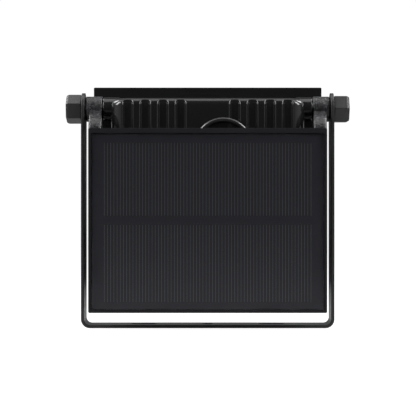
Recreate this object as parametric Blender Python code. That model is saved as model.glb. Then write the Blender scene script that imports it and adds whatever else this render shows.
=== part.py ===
"""A solar charged LED flood light on a U bracket, with its solar panel folded against the back.

The lamp, the panel's two ears and the bracket share one clamping axis along X. The light shines along
+Y, and the panel hangs on the -Y side. The origin is on the underside of the bracket's base, below the
axis. All dimensions here are in millimetres; make_object() turns them into metres.
"""

import math

import bmesh
import bpy
from mathutils import Matrix, Vector

MM = 0.001
GAP = 0.3  # between pieces that touch on the real object
ROUND = 24  # sides of a turned piece
SMALL_ROUND = 16

# The clamping axis
AXIS_Z = 136.0
BOLT_R = 3.0
BOLT_HOLE_R = 3.3

# Bracket, bent from flat strip
STRIP_WIDTH = 20.0
STRIP = 2.0
LEG_OUTER_X = 78.4
BEND_OUTER_R = 5.5
BASE_HOLE_R = 3.2
SLOT_X = 39.7
SLOT_LENGTH = 16.0
SLOT_WIDTH = 6.0

# Lamp casing
CASING_X = 60.0
CASING_BACK = -13.0
CASING_TOP = AXIS_Z + 7.0
CASING_BOTTOM = AXIS_Z - 104.0
CASING_EDGE_R = 5.0
CASING_CORNER_R = 3.5
CASING_WALL = 2.5
BACK_WALL = 4.0
FLUTE_FIRST_X = 16.7
FLUTE_PITCH = 10.9
FLUTE_COUNT = 4
FLUTE_WIDTH = 5.9
FLUTE_DEPTH = 1.8
LUG_OUTER_X = 65.3
LUG_R = 6.9
LUG_ROOT_X = 50.0

# Bezel and what it holds
BEZEL_X = 72.5
BEZEL_BACK = 17.0
BEZEL_FRONT = 27.0
BEZEL_TOP = AXIS_Z + 15.0
BEZEL_BOTTOM = AXIS_Z - 112.0
BEZEL_RIM = 2.7
FLANGE_FRONT = 19.2
WINDOW_X = 58.0
WINDOW_HALF_Z = 52.0
POCKET_X = 61.8
POCKET_HALF_Z = 55.3
LAMP_MID_Z = (BEZEL_TOP + BEZEL_BOTTOM) / 2
BEZEL_SCREW_X = 66.0
BEZEL_SCREW_HALF_Z = 47.5

# Light source, from back to front
HEAT_PLATE = (10.1, 12.1)
LED_BOARD = (12.4, 13.4)
COB = (13.7, 14.5)
LENS = (20.8, 23.6)
LENS_GASKET = (23.9, 24.7)

# Batteries, switch and socket
CELL_R = 9.2
CELL_HALF = 32.6
CELL_Y = 0.6
CELL_MIDS_Z = (AXIS_Z - 82.2, AXIS_Z - 61.8)
BUTTON_X = -25.0
SOCKET_X = 25.0
BOTTOM_Y = 2.0  # where the button and the socket sit in the casing's bottom wall
BUTTON_TRAVEL = 1.2
FLAP_HINGE_X = 34.0
FLAP = (CASING_BOTTOM - 1.6, CASING_BOTTOM - GAP)

# Solar panel
PANEL_X = 72.5
PANEL_FRONT = -27.0
PANEL_BACK = -17.0
PANEL_TOP = AXIS_Z - 13.2
PANEL_BOTTOM = AXIS_Z - 125.4
TOP_RIM = 3.0
SIDE_RIM = 1.6
LEDGE = (-19.5, -23.4)
LEDGE_INNER_X = 64.5
CELL_ROW_X = 63.0
UPPER_ROW = (AXIS_Z - 66.9, AXIS_Z - 21.7)
LOWER_ROW = (AXIS_Z - 119.3, AXIS_Z - 71.4)
BACK_SCREW_X = 67.4
BACK_SCREW_Z = (26.0, 106.0)

# Ears of the panel frame
EAR_INNER_X = 65.6
ARM_OUTER_X = 72.2
EAR_OUTER_X = 76.1
EAR_R = 7.9
BUSH_R = 4.5

# Hexagonal clamping knobs
KNOB_INNER_X = 78.7
KNOB_OUTER_X = 88.7
KNOB_ACROSS_FLATS = 16.0
KNOB_TURN = {"left": 18.9, "right": 0.0}  # degrees from the -Y side up to the first corner

# Link cable, lying in the gap between the casing's back and the panel's back
CABLE_R = 1.6
CABLE_Y = -15.0
CABLE_ROUTE = [  # x and height above the clamping axis
    (-5.0, -37.0), (-5.7, -33.5), (-7.2, -29.3), (-7.65, -24.8), (-5.33, -16.15), (1.0, -9.82),
    (9.65, -7.5), (18.3, -9.82), (24.63, -16.15), (26.95, -24.8), (26.5, -29.3), (25.0, -33.5),
    (24.3, -37.0),
]
GLAND_TOP = AXIS_Z - 37.3

# colour, roughness, metallic
LOOKS = {
    "black_paint": ((0.012, 0.012, 0.012), 0.45, 0.0),
    "gloss_black": ((0.008, 0.008, 0.009), 0.22, 0.0),
    "textured_black": ((0.055, 0.055, 0.058), 0.6, 0.0),
    "rubber": ((0.015, 0.015, 0.015), 0.8, 0.0),
    "steel": ((0.55, 0.55, 0.56), 0.35, 1.0),
    "brass": ((0.75, 0.55, 0.25), 0.35, 1.0),
    "aluminium": ((0.75, 0.75, 0.77), 0.4, 1.0),
    "white_plastic": ((0.8, 0.8, 0.79), 0.35, 0.0),
    "glass": ((0.85, 0.9, 0.9), 0.05, 0.0),
    "phosphor": ((0.9, 0.75, 0.2), 0.5, 0.0),
    "board_green": ((0.02, 0.16, 0.06), 0.5, 0.0),
    "cell_wrap": ((0.05, 0.18, 0.5), 0.4, 0.0),
    "solar_cell": ((0.014, 0.014, 0.018), 0.35, 0.0),
    "panel_film": ((0.02, 0.02, 0.023), 0.3, 0.0),
    "copper": ((0.7, 0.35, 0.2), 0.35, 1.0),
}


# ---------------------------------------------------------------- making objects


def clear_scene():
    for old in list(bpy.data.objects):
        bpy.data.objects.remove(old, do_unlink=True)


def make_axis(name, x, y, z, parent=None):
    """An empty on a joint's axis, which carries the pieces that move about it."""
    empty = bpy.data.objects.new(name, None)
    empty.empty_display_size = 10 * MM
    bpy.context.collection.objects.link(empty)
    here = Vector((x, y, z)) * MM
    empty.location = here
    if parent:
        empty.parent = parent
        empty.location = here - Vector(parent["place"])
    empty["place"] = here
    return empty


def paint(obj, look):
    colour, roughness, metallic = LOOKS[look]
    material = bpy.data.materials.new(obj.name)
    material.use_nodes = True
    shader = material.node_tree.nodes["Principled BSDF"]
    shader.inputs["Base Color"].default_value = (*colour, 1.0)
    shader.inputs["Roughness"].default_value = roughness
    shader.inputs["Metallic"].default_value = metallic
    obj.data.materials.append(material)


def make_object(name, bm, look=None, parent=None):
    """Turns a bmesh in millimetres into an object in metres. Without a look it is a hidden guide."""
    bmesh.ops.recalc_face_normals(bm, faces=bm.faces)
    origin = Vector(parent["place"]) if parent else Vector((0, 0, 0))
    bmesh.ops.transform(bm, matrix=Matrix.Translation(-origin) @ Matrix.Scale(MM, 4), verts=bm.verts)
    mesh = bpy.data.meshes.new(name)
    bm.to_mesh(mesh)
    bm.free()
    mesh.shade_smooth()
    mesh.set_sharp_from_angle(angle=math.radians(35))
    obj = bpy.data.objects.new(name, mesh)
    bpy.context.collection.objects.link(obj)
    obj.parent = parent
    if look:
        paint(obj, look)
    else:
        obj.hide_render = True
        obj.display_type = "WIRE"
    return obj


def boolean(target, operation, tool):
    step = target.modifiers.new(tool.name, "BOOLEAN")
    step.operation = operation
    step.solver = "EXACT"
    step.object = tool


# ---------------------------------------------------------------- outlines and solids


def arc(centre, radius, start, end, steps):
    """Points on an arc, with its angles in degrees."""
    angles = [math.radians(start + (end - start) * i / steps) for i in range(steps + 1)]
    return [(centre[0] + radius * math.cos(a), centre[1] + radius * math.sin(a)) for a in angles]


def circle(centre, radius, sides=ROUND):
    return arc(centre, radius, 0, 360, sides)[:-1]


def rectangle(a0, a1, b0, b1, radius=0.0, steps=3):
    if not radius:
        return [(a0, b0), (a1, b0), (a1, b1), (a0, b1)]
    corners = [(a0 + radius, b0 + radius, 180), (a1 - radius, b0 + radius, 270),
               (a1 - radius, b1 - radius, 0), (a0 + radius, b1 - radius, 90)]
    return [p for a, b, turn in corners for p in arc((a, b), radius, turn, turn + 90, steps)]


def hexagon(radius, turn):
    """In the YZ plane, with its first corner turned up from the -Y direction."""
    corners = [math.radians(turn + 60 * k) for k in range(6)]
    return [(-radius * math.cos(c), AXIS_Z + radius * math.sin(c)) for c in corners]


def bezier(p0, p1, p2, p3, steps):
    points = []
    for i in range(steps + 1):
        t = i / steps
        weights = ((1 - t) ** 3, 3 * t * (1 - t) ** 2, 3 * t * t * (1 - t), t ** 3)
        points.append(tuple(sum(w * p[k] for w, p in zip(weights, (p0, p1, p2, p3))) for k in (0, 1)))
    return points


def lofted(stations, along, closed=False):
    """Skins a row of outlines, each (place along the axis, outline), into one solid or one ring."""
    bm = bmesh.new()
    order = {"x": (2, 0, 1), "y": (0, 2, 1), "z": (0, 1, 2)}[along]
    rings = []
    for place, outline in stations:
        corners = [(a, b, place) for a, b in outline]
        rings.append([bm.verts.new([corner[i] for i in order]) for corner in corners])
    following = rings[1:] + rings[:1] if closed else rings[1:]
    for here, there in zip(rings, following):
        for i in range(len(here)):
            j = (i + 1) % len(here)
            bm.faces.new((here[i], here[j], there[j], there[i]))
    if not closed:
        bm.faces.new(rings[0])
        bm.faces.new(rings[-1])
    return bm


def prism(outline, along, start, end):
    return lofted([(start, outline), (end, outline)], along)


def turned(profile, along, centre, sides=ROUND, closed=False):
    """A turned piece from (place along the axis, radius) points. A closed profile leaves a bore."""
    return lofted([(place, circle(centre, radius, sides)) for place, radius in profile], along, closed)


def tube(along, centre, inner, outer, start, end, sides=ROUND):
    profile = [(start, inner), (start, outer), (end, outer), (end, inner)]
    return turned(profile, along, centre, sides, closed=True)


def frame_ring(section, radius=1.0):
    """A rectangular ring about the Y direction. The section is a closed row of (y, x0, x1, z0, z1)."""
    return lofted([(y, rectangle(x0, x1, z0, z1, radius)) for y, x0, x1, z0, z1 in section], "y",
                  closed=True)


def block(name, x0, x1, y0, y1, z0, z1, look=None, parent=None, radius=0.0):
    """A box, with the corners seen along Y rounded when a radius is given."""
    return make_object(name, prism(rectangle(x0, x1, z0, z1, radius), "y", y0, y1), look, parent)


def both_sides():
    return (("left", -1), ("right", 1))


# ---------------------------------------------------------------- bracket


def make_bracket():
    inner_x = LEG_OUTER_X - STRIP
    inner_r = BEND_OUTER_R - STRIP
    bend_x = LEG_OUTER_X - BEND_OUTER_R
    top = AXIS_Z + STRIP_WIDTH / 2
    inside = [(inner_x, top)] + arc((bend_x, BEND_OUTER_R), inner_r, 0, -90, 5)
    outside = arc((bend_x, BEND_OUTER_R), BEND_OUTER_R, -90, 0, 5) + [(LEG_OUTER_X, top)]
    outline = inside + [(-x, z) for x, z in reversed(inside)]
    outline += [(-x, z) for x, z in reversed(outside)] + outside
    half = STRIP_WIDTH / 2
    bracket = make_object("bracket", prism(outline, "y", -half, half), "black_paint")

    above = [(half + 1, top + 2), (-half - 1, top + 2), (-half - 1, AXIS_Z)]
    above += arc((0, AXIS_Z), half, 180, 0, 16) + [(half + 1, AXIS_Z)]
    boolean(bracket, "DIFFERENCE", make_object("cut_round_ends", prism(above, "x", -80, 80)))
    bore = turned([(-80, BOLT_HOLE_R), (80, BOLT_HOLE_R)], "x", (0, AXIS_Z))
    boolean(bracket, "DIFFERENCE", make_object("cut_bracket_bore", bore))
    hole = turned([(-1, BASE_HOLE_R), (STRIP + 1, BASE_HOLE_R)], "z", (0, 0))
    boolean(bracket, "DIFFERENCE", make_object("cut_base_hole", hole))
    for side, sign in both_sides():
        x0 = sign * SLOT_X - SLOT_LENGTH / 2
        slot = rectangle(x0, x0 + SLOT_LENGTH, -SLOT_WIDTH / 2, SLOT_WIDTH / 2, SLOT_WIDTH / 2 - 0.01, 5)
        boolean(bracket, "DIFFERENCE", make_object(f"cut_{side}_slot", prism(slot, "z", -1, STRIP + 1)))


# ---------------------------------------------------------------- lamp


def casing_plan():
    """The casing seen from above, with the flutes in its back."""
    r = CASING_CORNER_R
    front = BEZEL_BACK + 1.0
    centres = [FLUTE_FIRST_X + FLUTE_PITCH * k for k in range(FLUTE_COUNT)]
    half, floor = FLUTE_WIDTH / 2, CASING_BACK + FLUTE_DEPTH
    back = []
    for c in sorted([-c for c in centres] + centres):
        back += [(c - half, CASING_BACK), (c - half + 0.6, floor), (c + half - 0.6, floor),
                 (c + half, CASING_BACK)]
    left = arc((r - CASING_X, CASING_BACK + r), r, 180, 270, 4)
    right = arc((CASING_X - r, CASING_BACK + r), r, 270, 360, 4)
    return [(-CASING_X, front)] + left + back + right + [(CASING_X, front)]


def casing_side():
    """The casing seen from the side, with rounded edges between its back and its top and bottom."""
    r = CASING_EDGE_R
    y = CASING_BACK + r
    front = BEZEL_BACK + 2.0
    lower = arc((y, CASING_BOTTOM + r), r, 270, 180, 5)
    upper = arc((y, CASING_TOP - r), r, 180, 90, 5)
    return [(front, CASING_BOTTOM)] + lower + upper + [(front, CASING_TOP)]


def make_casing(lamp):
    casing = make_object("rear_casing", prism(casing_plan(), "z", CASING_BOTTOM - 2, CASING_TOP + 2),
                         "gloss_black", lamp)
    side = make_object("casing_side", prism(casing_side(), "x", -CASING_X - 2, CASING_X + 2))
    boolean(casing, "INTERSECT", side)
    rim = BEZEL_RIM + GAP
    flange = block("casing_flange", rim - BEZEL_X, BEZEL_X - rim, BEZEL_BACK, FLANGE_FRONT,
                   BEZEL_BOTTOM + rim, BEZEL_TOP - rim, radius=1.5)
    boolean(casing, "UNION", flange)
    x = CASING_X - CASING_WALL
    cavity = block("cut_casing_cavity", -x, x, CASING_BACK + BACK_WALL, FLANGE_FRONT + 2,
                   CASING_BOTTOM + CASING_WALL, CASING_TOP - CASING_WALL)
    boolean(casing, "DIFFERENCE", cavity)
    for side, sign in both_sides():
        lug = turned([(sign * LUG_ROOT_X, LUG_R), (sign * (LUG_OUTER_X - 0.6), LUG_R),
                      (sign * LUG_OUTER_X, LUG_R - 0.6)], "x", (0, AXIS_Z))
        boolean(casing, "UNION", make_object(f"casing_{side}_lug", lug))
        bore = turned([(sign * (LUG_ROOT_X + 2), 4.3), (sign * (LUG_OUTER_X + 1), 4.3)], "x", (0, AXIS_Z))
        boolean(casing, "DIFFERENCE", make_object(f"cut_{side}_lug_bore", bore))
        insert = tube("x", (0, AXIS_Z), BOLT_HOLE_R, 4.0, sign * (LUG_ROOT_X + 3), sign * LUG_OUTER_X)
        make_object(f"{side}_insert", insert, "brass", lamp)
    for x, z in screw_places(BEZEL_SCREW_X, (LAMP_MID_Z - BEZEL_SCREW_HALF_Z,
                                             LAMP_MID_Z + BEZEL_SCREW_HALF_Z)):
        hole = turned([(BEZEL_BACK - 1, 1.8), (FLANGE_FRONT + 1, 1.8)], "y", (x, z), SMALL_ROUND)
        boolean(casing, "DIFFERENCE", make_object("cut_flange_hole", hole))
    low, high = CASING_BOTTOM - 1, CASING_BOTTOM + CASING_WALL + 1
    hole = turned([(low, 5.2), (high, 5.2)], "z", (BUTTON_X, BOTTOM_Y))
    boolean(casing, "DIFFERENCE", make_object("cut_button_hole", hole))
    slot = rectangle(SOCKET_X - 5.3, SOCKET_X + 5.3, BOTTOM_Y - 2.6, BOTTOM_Y + 2.6)
    boolean(casing, "DIFFERENCE", make_object("cut_socket_slot", prism(slot, "z", low, high)))
    exit_x, exit_z = CABLE_ROUTE[0][0], GLAND_TOP - 5.7
    hole = turned([(CASING_BACK - 1, 2.7), (CASING_BACK + BACK_WALL + 1, 2.7)], "y", (exit_x, exit_z),
                  SMALL_ROUND)
    boolean(casing, "DIFFERENCE", make_object("cut_cable_exit", hole))


def screw_places(x, heights):
    return [(sign * x, z) for sign in (-1, 1) for z in heights]


def make_screw(name, x, z, head_y, shank_y, end_y, head_r, shank_r, parent):
    """A pan head screw driven along +Y or -Y, from its head's outer face to its tip."""
    toward = 1 if end_y > head_y else -1
    profile = [(head_y, head_r * 0.55), (head_y + toward * 0.35, head_r * 0.9),
               (head_y + toward * 0.8, head_r), (shank_y, head_r), (shank_y, shank_r),
               (end_y - toward * 0.6, shank_r), (end_y, shank_r * 0.5)]
    make_object(name, turned(profile, "y", (x, z), SMALL_ROUND), "steel", parent)


def make_bezel(lamp):
    window_z = (LAMP_MID_Z - WINDOW_HALF_Z, LAMP_MID_Z + WINDOW_HALF_Z)
    pocket_z = (LAMP_MID_Z - POCKET_HALF_Z, LAMP_MID_Z + POCKET_HALF_Z)
    recess_x, ledge_y, lip_y = BEZEL_X - BEZEL_RIM, 20.4, 25.0
    recess_z = (BEZEL_BOTTOM + BEZEL_RIM, BEZEL_TOP - BEZEL_RIM)
    section = [
        (BEZEL_BACK, -BEZEL_X, BEZEL_X, BEZEL_BOTTOM, BEZEL_TOP),
        (BEZEL_FRONT - 0.8, -BEZEL_X, BEZEL_X, BEZEL_BOTTOM, BEZEL_TOP),
        (BEZEL_FRONT, 0.8 - BEZEL_X, BEZEL_X - 0.8, BEZEL_BOTTOM + 0.8, BEZEL_TOP - 0.8),
        (BEZEL_FRONT, -WINDOW_X - 1.2, WINDOW_X + 1.2, window_z[0] - 1.2, window_z[1] + 1.2),
        (BEZEL_FRONT - 1.2, -WINDOW_X, WINDOW_X, *window_z),
        (lip_y, -WINDOW_X, WINDOW_X, *window_z),
        (lip_y, -POCKET_X, POCKET_X, *pocket_z),
        (ledge_y, -POCKET_X, POCKET_X, *pocket_z),
        (ledge_y, -recess_x, recess_x, *recess_z),
        (BEZEL_BACK, -recess_x, recess_x, *recess_z),
    ]
    bezel = make_object("front_bezel", frame_ring(section, 1.5), "black_paint", lamp)
    heights = (LAMP_MID_Z - BEZEL_SCREW_HALF_Z, LAMP_MID_Z + BEZEL_SCREW_HALF_Z)
    gasket_section = [
        (19.5, -69.5, 69.5, BEZEL_BOTTOM + 3, BEZEL_TOP - 3),
        (20.1, -69.5, 69.5, BEZEL_BOTTOM + 3, BEZEL_TOP - 3),
        (20.1, -62.3, 62.3, pocket_z[0] - 0.7, pocket_z[1] + 0.7),
        (19.5, -62.3, 62.3, pocket_z[0] - 0.7, pocket_z[1] + 0.7),
    ]
    gasket = make_object("casing_gasket", frame_ring(gasket_section, 1.5), "rubber", lamp)
    for number, (x, z) in enumerate(screw_places(BEZEL_SCREW_X, heights), 1):
        hole = turned([(BEZEL_BACK - 1, 1.8), (24.3, 1.8)], "y", (x, z), SMALL_ROUND)
        tool = make_object(f"cut_bezel_hole_{number}", hole)
        boolean(bezel, "DIFFERENCE", tool)
        boolean(gasket, "DIFFERENCE", tool)
        make_screw(f"bezel_screw_{number}", x, z, 15.0, BEZEL_BACK - GAP, 24.0, 2.8, 1.5, lamp)


def make_optics(lamp):
    mid = LAMP_MID_Z
    lens_x, lens_half = POCKET_X - GAP, POCKET_HALF_Z - GAP
    block("lens", -lens_x, lens_x, *LENS, mid - lens_half, mid + lens_half, "glass", lamp, 1.5)
    gasket = [(LENS_GASKET[0], lens_x, lens_half), (LENS_GASKET[1], lens_x, lens_half),
              (LENS_GASKET[1], lens_x - 3, lens_half - 2.5), (LENS_GASKET[0], lens_x - 3, lens_half - 2.5)]
    dish = [(13.7, 29.0, 19.0), (13.7, 30.4, 20.4), (19.5, 57.0, 52.2), (19.5, lens_x, lens_half),
            (20.5, lens_x, lens_half), (20.5, 56.6, 51.4)]
    for name, section, look in (("lens_gasket", gasket, "rubber"), ("reflector", dish, "white_plastic")):
        ring = frame_ring([(y, -x, x, mid - z, mid + z) for y, x, z in section])
        make_object(name, ring, look, lamp)
    inner_x = CASING_X - CASING_WALL - GAP
    inner_z = (CASING_BOTTOM + CASING_WALL + GAP, CASING_TOP - CASING_WALL - GAP)
    block("heat_plate", -inner_x, inner_x, *HEAT_PLATE, *inner_z, "aluminium", lamp)
    block("led_board", -32, 32, *LED_BOARD, mid - 22, mid + 22, "white_plastic", lamp, 2.0)
    block("cob_led", -26, 26, *COB, mid - 16, mid + 16, "phosphor", lamp, 1.0)


def make_power(lamp):
    for number, z in enumerate(CELL_MIDS_Z, 1):
        cell = turned([(-CELL_HALF, CELL_R - 0.8), (0.8 - CELL_HALF, CELL_R), (CELL_HALF - 0.8, CELL_R),
                       (CELL_HALF, CELL_R - 0.8)], "x", (CELL_Y, z))
        make_object(f"battery_cell_{number}", cell, "cell_wrap", lamp)
    low, high = CELL_MIDS_Z[0] - CELL_R, CELL_MIDS_Z[1] + CELL_R
    middle = sum(CELL_MIDS_Z) / 2
    wall, end, rail = CELL_HALF + 0.4, CELL_HALF + 2.9, 0.7
    quarter = [(wall, middle + rail), (wall, high), (end, high)]
    half = quarter + [(x, 2 * middle - z) for x, z in reversed(quarter[1:])] + [(wall, middle - rail)]
    outline = half + [(-x, 2 * middle - z) for x, z in half]
    make_object("battery_holder", prism(outline, "y", -8.6, 9.6), "textured_black", lamp)
    assert low > CASING_BOTTOM + CASING_WALL
    board = block("driver_board", -32, 32, -6.0, -4.4, 90, 126, "board_green", lamp, 1.0)
    parts = {"inductor": (-24, -10, 6.0, 96, 110), "driver_chip": (0, 10, 0.0, 98, 106),
             "capacitors": (16, 28, 7.0, 108, 118), "connector": (-10, 4, 3.0, 114, 122)}
    for name, (x0, x1, y1, z0, z1) in parts.items():
        boolean(board, "UNION", block(f"board_{name}", x0, x1, -4.6, y1, z0, z1))
    socket = block("charge_socket", SOCKET_X - 5.0, SOCKET_X + 5.0, BOTTOM_Y - 3.5, BOTTOM_Y + 3.5,
                   CASING_BOTTOM + 2.8, CASING_BOTTOM + 10.0, "steel", lamp)
    mouth = block("cut_socket_mouth", SOCKET_X - 4.4, SOCKET_X + 4.4, BOTTOM_Y - 1.6, BOTTOM_Y + 1.6,
                  CASING_BOTTOM + 2.0, CASING_BOTTOM + 8.5)
    boolean(socket, "DIFFERENCE", mouth)
    block("switch_body", BUTTON_X - 4, BUTTON_X + 4, BOTTOM_Y - 4, BOTTOM_Y + 4,
          CASING_BOTTOM + 5.3, CASING_BOTTOM + 11.0, "textured_black", lamp)


def make_lamp_trim(lamp):
    for side, sign in both_sides():
        x = sign * 44.0
        block(f"{side}_rest_pad", x - 2.2, x + 2.2, PANEL_BACK + GAP, CASING_BACK - GAP, 41, 49,
              "rubber", lamp, 0.8)
    x = CABLE_ROUTE[0][0]
    gland = block("lamp_gland", x - 3.5, x + 3.5, PANEL_BACK + GAP, CASING_BACK - GAP,
                  GLAND_TOP - 12, GLAND_TOP, "rubber", lamp, 0.8)
    spigot = turned([(CASING_BACK - 1, 2.4), (CASING_BACK + BACK_WALL - 0.2, 2.4)], "y",
                    (x, GLAND_TOP - 5.7), SMALL_ROUND)
    boolean(gland, "UNION", make_object("gland_spigot", spigot))
    anchor = prism(rectangle(FLAP_HINGE_X + 0.9, FLAP_HINGE_X + 6.0, BOTTOM_Y - 4.5, BOTTOM_Y + 4.5, 0.8),
                   "z", *FLAP)
    make_object("port_cover_anchor", anchor, "rubber", lamp)


def make_button(axis):
    z = CASING_BOTTOM
    profile = [(z - 1.2, 3.2), (z - 1.05, 4.2), (z - 0.6, 4.7), (z, 4.9), (z + 2.8, 4.9), (z + 2.8, 6.2),
               (z + 3.8, 6.2)]
    make_object("power_button", turned(profile, "z", (BUTTON_X, BOTTOM_Y)), "rubber", axis)


def make_port_cover(axis):
    flap = rectangle(SOCKET_X - 8.0, FLAP_HINGE_X - GAP, BOTTOM_Y - 4.5, BOTTOM_Y + 4.5, 1.5)
    cover = make_object("port_cover", prism(flap, "z", *FLAP), "rubber", axis)
    plug = rectangle(SOCKET_X - 4.7, SOCKET_X + 4.7, BOTTOM_Y - 2.1, BOTTOM_Y + 2.1, 0.8)
    tool = make_object("cover_plug", prism(plug, "z", FLAP[0] + 0.5, FLAP[1] + 2.2))
    boolean(cover, "UNION", tool)


# ---------------------------------------------------------------- solar panel


def arm_outline():
    """The ear's arm seen from the side: out from the barrel and down onto the frame's top rail."""
    barrel = AXIS_Z
    outer = bezier((1 - EAR_R, barrel + 1), (-8.2, barrel - 6.5), (PANEL_FRONT + 0.3, barrel - 3.5),
                   (PANEL_FRONT + 0.3, PANEL_TOP - 0.5), 10)
    inner = bezier((PANEL_BACK - 0.3, PANEL_TOP - 0.5), (PANEL_BACK - 0.3, barrel - 10.5),
                   (-10, barrel - 9.0), (0, barrel - EAR_R + 0.4), 5)
    return outer + [(PANEL_FRONT + 0.3, PANEL_TOP - 2.0), (PANEL_BACK - 0.3, PANEL_TOP - 2.0)] + inner


def make_panel_frame(panel):
    front_z = (PANEL_BOTTOM + SIDE_RIM, PANEL_TOP - TOP_RIM)
    back_z = (PANEL_BOTTOM + 1.9, PANEL_TOP - TOP_RIM - 0.3)
    middle_z = (PANEL_BOTTOM + 6.0, PANEL_TOP - 7.0)
    front_x, back_x = PANEL_X - SIDE_RIM, PANEL_X - 1.9
    section = [
        (PANEL_BACK, -PANEL_X, PANEL_X, PANEL_BOTTOM, PANEL_TOP),
        (PANEL_FRONT, -PANEL_X, PANEL_X, PANEL_BOTTOM, PANEL_TOP),
        (PANEL_FRONT, -front_x, front_x, *front_z),
        (LEDGE[1], -front_x, front_x, *front_z),
        (LEDGE[1], -LEDGE_INNER_X, LEDGE_INNER_X, *middle_z),
        (LEDGE[0], -LEDGE_INNER_X, LEDGE_INNER_X, *middle_z),
        (LEDGE[0], -back_x, back_x, *back_z),
        (PANEL_BACK, -back_x, back_x, *back_z),
    ]
    frame = make_object("panel_frame", frame_ring(section, 0.6), "textured_black", panel)
    for side, sign in both_sides():
        arm = prism(arm_outline(), "x", sign * EAR_INNER_X, sign * ARM_OUTER_X)
        boolean(frame, "UNION", make_object(f"{side}_arm", arm))
        barrel = turned([(sign * EAR_INNER_X, EAR_R - 0.5), (sign * (EAR_INNER_X + 0.5), EAR_R),
                         (sign * (EAR_OUTER_X - 0.5), EAR_R), (sign * EAR_OUTER_X, EAR_R - 0.5)],
                        "x", (0, AXIS_Z))
        boolean(frame, "UNION", make_object(f"{side}_barrel", barrel))
        bore = turned([(sign * (EAR_INNER_X - 1), BUSH_R + GAP), (sign * (EAR_OUTER_X + 1), BUSH_R + GAP)],
                      "x", (0, AXIS_Z))
        boolean(frame, "DIFFERENCE", make_object(f"cut_{side}_ear_bore", bore))
        bush = tube("x", (0, AXIS_Z), BOLT_HOLE_R, BUSH_R, sign * (EAR_INNER_X + GAP),
                    sign * (EAR_OUTER_X - GAP))
        make_object(f"{side}_ear_bush", bush, "white_plastic", panel)
    for number, (x, z) in enumerate(screw_places(BACK_SCREW_X, BACK_SCREW_Z), 1):
        hole = turned([(LEDGE[0] + 1, 1.4), (LEDGE[1] + 0.5, 1.4)], "y", (x, z), SMALL_ROUND)
        boolean(frame, "DIFFERENCE", make_object(f"cut_ledge_hole_{number}", hole))


def make_back_cover(panel):
    x = PANEL_X - 2.2
    back, front = PANEL_BACK - 0.2, LEDGE[0] + GAP
    cover = block("panel_back_cover", -x, x, front, back, PANEL_BOTTOM + 2.2, PANEL_TOP - TOP_RIM - 0.6,
                  "textured_black", panel, 1.0)
    for number, (sx, sz) in enumerate(screw_places(BACK_SCREW_X, BACK_SCREW_Z), 1):
        hole = turned([(back + 1, 2.3), (back - 1.1, 2.3), (back - 1.1, 1.4), (front - 1, 1.4)], "y",
                      (sx, sz), SMALL_ROUND)
        boolean(cover, "DIFFERENCE", make_object(f"cut_cover_hole_{number}", hole))
        make_screw(f"back_screw_{number}", sx, sz, back + 0.1, back - 0.8, LEDGE[1] + 0.9, 2.0, 1.1, panel)
    x, z = CABLE_ROUTE[-1][0], GLAND_TOP - 5.7
    hole = turned([(back + 1, 2.7), (front - 1, 2.7)], "y", (x, z), SMALL_ROUND)
    boolean(cover, "DIFFERENCE", make_object("cut_cover_exit", hole))
    junction = block("junction_block", x - 5, x + 5, PANEL_BACK + GAP, CASING_BACK - GAP,
                     GLAND_TOP - 14, GLAND_TOP, "rubber", panel, 0.8)
    spigot = turned([(PANEL_BACK + 1, 2.4), (front - 0.2, 2.4)], "y", (x, z), SMALL_ROUND)
    boolean(junction, "UNION", make_object("junction_spigot", spigot))
    block("charge_diode_board", x - 9, x + 5, -22.4, -20.8, z - 8, z + 8, "board_green", panel)


def make_laminate(panel):
    x = PANEL_X - SIDE_RIM - GAP
    z = (PANEL_BOTTOM + SIDE_RIM + GAP, PANEL_TOP - TOP_RIM - GAP)
    block("solar_backboard", -x, x, -24.6, -23.7, *z, "board_green", panel, 0.6)
    for name, row in (("upper_cell_row", UPPER_ROW), ("lower_cell_row", LOWER_ROW)):
        block(name, -CELL_ROW_X, CELL_ROW_X, -25.2, -24.9, *row, "solar_cell", panel)
    block("panel_glazing", -x, x, -26.8, -25.5, *z, "panel_film", panel, 0.6)
    middle = (UPPER_ROW[0] + LOWER_ROW[1]) / 2
    for side, sign in both_sides():
        block(f"{side}_row_link", sign * 30 - 1.5, sign * 30 + 1.5, -23.4, -23.1, middle - 8, middle + 8,
              "copper", panel)


# ---------------------------------------------------------------- clamps and cable


def make_clamp(side, sign, clamp_axis, knob_axis):
    corner_r = KNOB_ACROSS_FLATS / 2 / math.cos(math.radians(30))
    turn = KNOB_TURN[side]
    stations = [(KNOB_INNER_X, corner_r), (KNOB_OUTER_X - 1.5, corner_r), (KNOB_OUTER_X - 0.5, corner_r * 0.95),
                (KNOB_OUTER_X, corner_r * 0.86)]
    grip = make_object(f"{side}_knob", lofted([(sign * x, hexagon(r, turn)) for x, r in stations], "x"),
                       "textured_black", knob_axis)
    pocket = turned([(sign * (KNOB_INNER_X - 1), 6.5), (sign * (KNOB_INNER_X + 5.6), 6.5)], "x", (0, AXIS_Z))
    boolean(grip, "DIFFERENCE", make_object(f"cut_{side}_knob_pocket", pocket))
    head = lofted([(sign * (KNOB_INNER_X + x), hexagon(5.77, turn)) for x in (1.5, 5.3)], "x")
    bolt = make_object(f"{side}_clamp_bolt", head, "steel", knob_axis)
    shank = turned([(sign * 54, BOLT_R - 0.6), (sign * 54.6, BOLT_R), (sign * (KNOB_INNER_X + 3), BOLT_R)],
                   "x", (0, AXIS_Z))
    boolean(bolt, "UNION", make_object(f"{side}_bolt_shank", shank))
    washer = tube("x", (0, AXIS_Z), BOLT_HOLE_R, 6.0, sign * KNOB_INNER_X, sign * (KNOB_INNER_X + 1.2))
    make_object(f"{side}_washer", washer, "steel", clamp_axis)


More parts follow.
